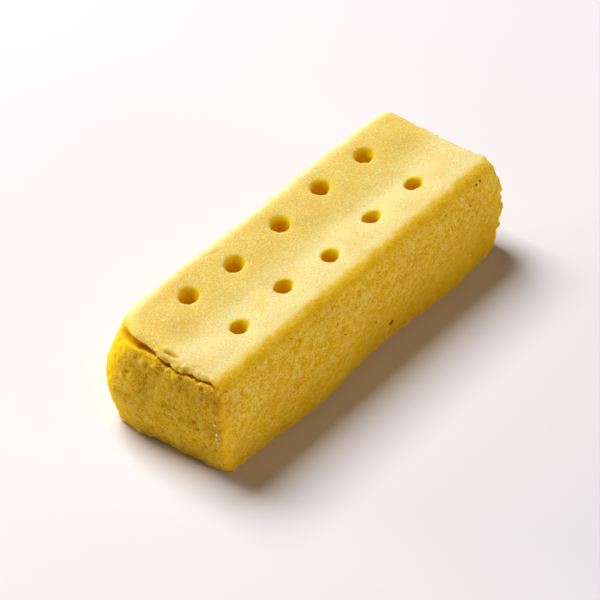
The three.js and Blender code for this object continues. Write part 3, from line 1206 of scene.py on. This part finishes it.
@dataclass(frozen=True)
class BakedDough:
    """Short dough, pressed and baked dry: pale matt crust above a golden, sandy crumb.

    Butter and sugar make the crumb scatter light a millimetre or two deep, so edges glow and
    hollows turn amber; that glow is also painted into the colours of the edges and the hollows, and
    painted shade darkens the foot, the base line, the deep hollows, the crack and, in part, the pores,
    while a painted highlight lightens parts of the crust. Its sand is about a tenth of a millimetre,
    and is drawn two or three times as coarse so that it shows. Sizes in millimetres.
    """

    name: str = "baked_shortbread"
    crumb: str = "f4c418"
    layers: tuple[Layer, ...] = (
        # Painted shade, darker towards the table.
        Layer("foot", "ca9e08", (Ramp(Zone.FOOT),)),
        Layer("amber", "dc9e06", (Ramp(Grain.BLOTCH, 0.5, 0.7, 0.5),)),
        # Painted contact shadow along the base.
        Layer("base_edge", "906206", (Ramp(Zone.BASE, last=0.9),)),
        # Bare crumb of the holes and the crack, painted brighter and more saturated with the amber glow of
        # light bounced inside.
        Layer("hollow", "ffd608", (Ramp(Zone.HOLLOW),)),
        # Painted shade deeper in the holes and the crack.
        Layer("deep_hollow", "f8c404", (Ramp(Zone.DEEP),)),
        # Painted shade in the crack and the nicks.
        Layer("crevice", "dea808", (Ramp(Zone.CREVICE),)),
        Layer(
            "pale_crumb", "ffe88a",
            (
                OUT_OF_HOLLOWS, Ramp(Grain.SAND, 0.46, 0.65),
                # Fewer pale grains where the painted shade lies towards the table.
                Ramp(Zone.COARSE, 0.7, 1.0, last=0.36, first=0.7), Ramp(Zone.FOOT, last=0.1, first=1.0),
            ),
        ),
        Layer(
            "deep_crumb", "d09a02",
            (OUT_OF_HOLLOWS, Ramp(Zone.COARSE), Ramp(Grain.SAND, 0.5, 0.39, 0.85)),
        ),
        # Edges: partly their own yellow, partly painted glow.
        Layer("edge", "fccb12", (Ramp(Zone.EDGE, last=0.85),)),
        # Dark dots on the bump's pits: partly the crumb's own pores, partly painted shade in them.
        Layer("pore", "b07c0c", (*IN_PORES, Ramp(Grain.PORE_CHOICE, 0.6, 0.65, 0.35))),
        Layer("crust", "fed562", (Ramp(Zone.CRUST),)),
        # Painted highlight on the crust.
        Layer("pale_crust", "fee499", (Ramp(Zone.PALE),)),
        Layer("baked_crust", "eebf50", (Ramp(Zone.CRUST), Ramp(Grain.BLOTCH, 0.5, 0.7, 0.4))),
        Layer("pale_grain", "fff2c6", (Ramp(Zone.CRUST), Ramp(Grain.CRUST_SAND, 0.5, 0.65, 0.6))),
        Layer("deep_grain", "f4c444", (Ramp(Zone.CRUST), Ramp(Grain.CRUST_SAND, 0.5, 0.35, 0.55))),
    )
    pits: tuple[Ramp, ...] = (*IN_PORES, Ramp(Grain.PORE_CHOICE, 0.6, 0.65))
    bump: tuple[Ramp, ...] = (Ramp(Zone.COARSE, last=0.8),)
    bump_height: float = 0.12
    roughness: float = 0.72
    gloss: float = 0.04
    scatter: float = 0.9
    scatter_depth: float = 2.0
    scatter_colour: tuple[float, float, float] = (1.0, 0.92, 0.55)
    crust_sand_size: float = 0.26
    sand_size: float = 0.28
    clump_size: float = 1.0
    clump_share: float = 0.4
    blotch_size: float = 6.0
    pore_size: float = 1.3
    stretch: float = 0.75

    def readings(self, node: Callable[..., bpy.types.Node]) -> dict[Zone | Grain, bpy.types.NodeSocket]:
        """Add what the ramps read: the zones of the mesh and the patterns of the dough.

        Args:
            node: Adds a node to the material.

        Returns:
            The output socket of each.
        """
        place = node("ShaderNodeTexCoord").outputs["Object"]
        in_mm = {"Vector": place, "Scale": (self.stretch / MM, 1 / MM, 1 / MM)}
        along = node("ShaderNodeMapping", {}, in_mm).outputs["Vector"]
        sand, clump, blotch = (
            node("ShaderNodeTexNoise", {}, {"Vector": along, "Scale": 1 / size}).outputs["Fac"]
            for size in (self.sand_size, self.clump_size, self.blotch_size)
        )
        crust_sand = {"Vector": place, "Scale": 1 / (self.crust_sand_size * MM)}
        cells = node("ShaderNodeTexVoronoi", {}, {"Vector": along, "Scale": 1 / self.pore_size})
        choice = node("ShaderNodeSeparateColor", {}, {"Color": cells.outputs["Color"]})
        zones = {
            zone: node("ShaderNodeAttribute", {"attribute_name": zone.value}).outputs["Fac"]
            for zone in Zone
        }
        return zones | {
            Grain.SAND: node("ShaderNodeMix", {}, {0: self.clump_share, 2: sand, 3: clump}).outputs[0],
            Grain.CRUST_SAND: node("ShaderNodeTexNoise", {}, crust_sand).outputs["Fac"],
            Grain.BLOTCH: blotch,
            Grain.PORE_AWAY: cells.outputs["Distance"],
            Grain.PORE_CHOICE: choice.outputs["Red"],
        }

    def material(self) -> bpy.types.Material:
        """Return the finish, laid on in layers from the crumb out."""
        material = empty_material(self.name)
        node = partial(add_node, material.node_tree)
        reads = self.readings(node)

        def product(ramps: tuple[Ramp, ...]) -> bpy.types.NodeSocket | float:
            """Return what some ramps multiply to."""
            whole: Any = 1.0
            for ramp in ramps:
                ranges = {
                    "Value": reads[ramp.reads], "From Min": ramp.start, "From Max": ramp.end,
                    "To Min": ramp.first, "To Max": ramp.last,
                }
                factors = {0: whole, 1: node("ShaderNodeMapRange", {}, ranges).outputs["Result"]}
                whole = node("ShaderNodeMath", {"operation": "MULTIPLY"}, factors).outputs["Value"]
            return whole

        colour: Any = to_linear(self.crumb)
        for layer in self.layers:
            sockets = {0: product(layer.ramps), 6: colour, 7: to_linear(layer.colour)}
            settings = {"data_type": "RGBA", "label": layer.name}
            colour = node("ShaderNodeMix", settings, sockets).outputs[2]
        sand = {0: reads[Zone.CRUST], 2: reads[Grain.SAND], 3: reads[Grain.CRUST_SAND]}
        levels = {0: node("ShaderNodeMix", {}, sand).outputs[0], 1: product(self.pits)}
        bump = node(
            "ShaderNodeBump", {},
            {
                "Strength": product(self.bump),
                "Distance": self.bump_height * MM,
                "Height": node("ShaderNodeMath", {"operation": "SUBTRACT"}, levels).outputs["Value"],
            },
        )
        shader = node(
            "ShaderNodeBsdfPrincipled", {},
            {
                "Base Color": colour,
                "Roughness": self.roughness,
                "Specular IOR Level": self.gloss,
                "Subsurface Weight": self.scatter,
                "Subsurface Radius": self.scatter_colour,
                "Subsurface Scale": self.scatter_depth * MM,
                "Normal": bump.outputs["Normal"],
            },
        )
        node("ShaderNodeOutputMaterial", {}, {"Surface": shader.outputs["BSDF"]})
        return material


@dataclass(frozen=True)
class MottledFinish:
    """The finish of small bits, each a little nearer one colour or the other. Sizes in millimetres."""

    name: str
    colour: str
    other: str
    mottle_size: float
    roughness: float
    gloss: float
    ior: float

    def material(self) -> bpy.types.Material:
        """Return the finish as a material."""
        material = empty_material(self.name)
        node = partial(add_node, material.node_tree)
        place = node("ShaderNodeTexCoord").outputs["Object"]
        patches = {"Vector": place, "Scale": 1 / (self.mottle_size * MM)}
        mottle = node("ShaderNodeTexNoise", {}, patches).outputs["Fac"]
        mix = {0: mottle, 6: to_linear(self.colour), 7: to_linear(self.other)}
        shader = node(
            "ShaderNodeBsdfPrincipled", {},
            {
                "Base Color": node("ShaderNodeMix", {"data_type": "RGBA"}, mix).outputs[2],
                "Roughness": self.roughness,
                "IOR": self.ior,
                "Specular IOR Level": self.gloss,
            },
        )
        node("ShaderNodeOutputMaterial", {}, {"Surface": shader.outputs["BSDF"]})
        return material


@dataclass(frozen=True)
class SugarCrystal(MottledFinish):
    """Granulated sugar: clear crystals, clouded by fat, that read as pale specks with a glint."""

    name: str = "granulated_sugar"
    colour: str = "fff6d0"
    other: str = "fcd670"
    mottle_size: float = 2.5
    roughness: float = 0.2
    gloss: float = 0.5
    ior: float = 1.54


@dataclass(frozen=True)
class BranSkin(MottledFinish):
    """Toasted bran: thin brown husk, matt, and mottled from flake to flake."""

    name: str = "toasted_bran"
    colour: str = "7e4010"
    other: str = "a85e1e"
    mottle_size: float = 0.5
    roughness: float = 0.8
    gloss: float = 0.05
    ior: float = 1.5


@dataclass(frozen=True)
class Lamp:
    """A soft square light that looks at the bar. Sizes in metres."""

    name: str
    azimuth: float
    elevation: float
    distance: float
    side: float
    power: float
    colour: str = "ffffff"


@dataclass(frozen=True)
class Studio:
    """A plain pale table, soft light and a camera at the photograph's angle. Sizes in metres."""

    table: str = "f7f3f7"
    table_size: float = 6.0
    table_roughness: float = 0.6
    lamps: tuple[Lamp, ...] = (
        Lamp("key", 173.0, 57.0, 1.0, 0.55, 11.3),
        Lamp("low_fill", 8.0, 10.0, 1.2, 0.5, 5.4, "fff2e0"),
        Lamp("left_fill", -166.0, 6.0, 1.2, 0.5, 7.0, "fff0dc"),
    )
    sky: str = "fff6f0"
    sky_strength: float = 0.02
    lit_point: tuple[float, float, float] = (0.0, 0.0, 0.01)
    azimuth: float = -51.82
    elevation: float = 40.46
    distance: float = 0.55
    target_mm: tuple[float, float, float] = (-3.5, -0.84, 9.0)
    lens_mm: float = 203.7
    sensor_mm: float = 36.0
    nearest: float = 0.01

    @staticmethod
    def direction(azimuth: float, elevation: float) -> Vector:
        """Return the unit vector to a place seen at an azimuth from -Y and an elevation."""
        turn, rise = math.radians(azimuth), math.radians(elevation)
        flat = math.cos(rise)
        return Vector((math.sin(turn) * flat, -math.cos(turn) * flat, math.sin(rise)))

    def aim(self, thing: bpy.types.Object, place: Vector, target: Vector) -> None:
        """Put a lamp or camera at ``place``, looking at ``target``."""
        thing.location = place
        thing.rotation_euler = (target - place).to_track_quat("-Z", "Y").to_euler()
        bpy.context.scene.collection.objects.link(thing)

    def lay_table(self) -> None:
        """Lay the pale table top that the bar rests on."""
        shape = bmesh.new()
        bmesh.ops.create_grid(shape, x_segments=1, y_segments=1, size=self.table_size / 2)
        table = piece_of("table", shape)
        material = empty_material("matt_laminate")
        node = partial(add_node, material.node_tree)
        shader = node(
            "ShaderNodeBsdfPrincipled", {},
            {"Base Color": to_linear(self.table), "Roughness": self.table_roughness},
        )
        node("ShaderNodeOutputMaterial", {}, {"Surface": shader.outputs["BSDF"]})
        table.data.materials.append(material)

    def light(self) -> None:
        """Hang the lamps and set the even light of the room."""
        centre = Vector(self.lit_point)
        for lamp in self.lamps:
            data = bpy.data.lights.new(lamp.name, "AREA")
            data.shape = "SQUARE"
            data.size = lamp.side
            data.energy = lamp.power
            data.color = to_linear(lamp.colour)[:3]
            place = centre + lamp.distance * self.direction(lamp.azimuth, lamp.elevation)
            self.aim(bpy.data.objects.new(lamp.name, data), place, centre)
        world = bpy.data.worlds.new("room")
        world.use_nodes = True
        back = world.node_tree.nodes["Background"]
        back.inputs["Color"].default_value = to_linear(self.sky)
        back.inputs["Strength"].default_value = self.sky_strength
        bpy.context.scene.world = world

    def film(self, placing: Matrix) -> None:
        """Set the camera where the photograph was taken from.

        Args:
            placing: Where the bar's own millimetres lie in the scene.
        """
        data = bpy.data.cameras.new("camera")
        data.lens = self.lens_mm
        data.sensor_width = self.sensor_mm
        data.clip_start = self.nearest
        camera = bpy.data.objects.new("camera", data)
        target = placing @ Vector(self.target_mm)
        self.aim(camera, target + self.distance * self.direction(self.azimuth, self.elevation), target)
        bpy.context.scene.camera = camera
        bpy.context.scene.view_settings.view_transform = "Standard"

    def build(self, placing: Matrix) -> None:
        """Set the table, the light and the camera for a bar that lies as ``placing`` says."""
        self.lay_table()
        self.light()
        self.film(placing)


def main() -> None:
    """Build the bar and its studio."""
    logging.basicConfig(level=logging.INFO, format="%(name)s: %(message)s")
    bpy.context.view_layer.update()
    bar = BiscuitBar()
    bar.build()
    bar.dress(BakedDough())
    for bits, finish in ((SugarGrains(), SugarCrystal()), (BranSpecks(), BranSkin())):
        bits.build(bar)
        bits.dress(finish.material())
    Studio().build(bar.placing)


if __name__ == "__main__":
    main()
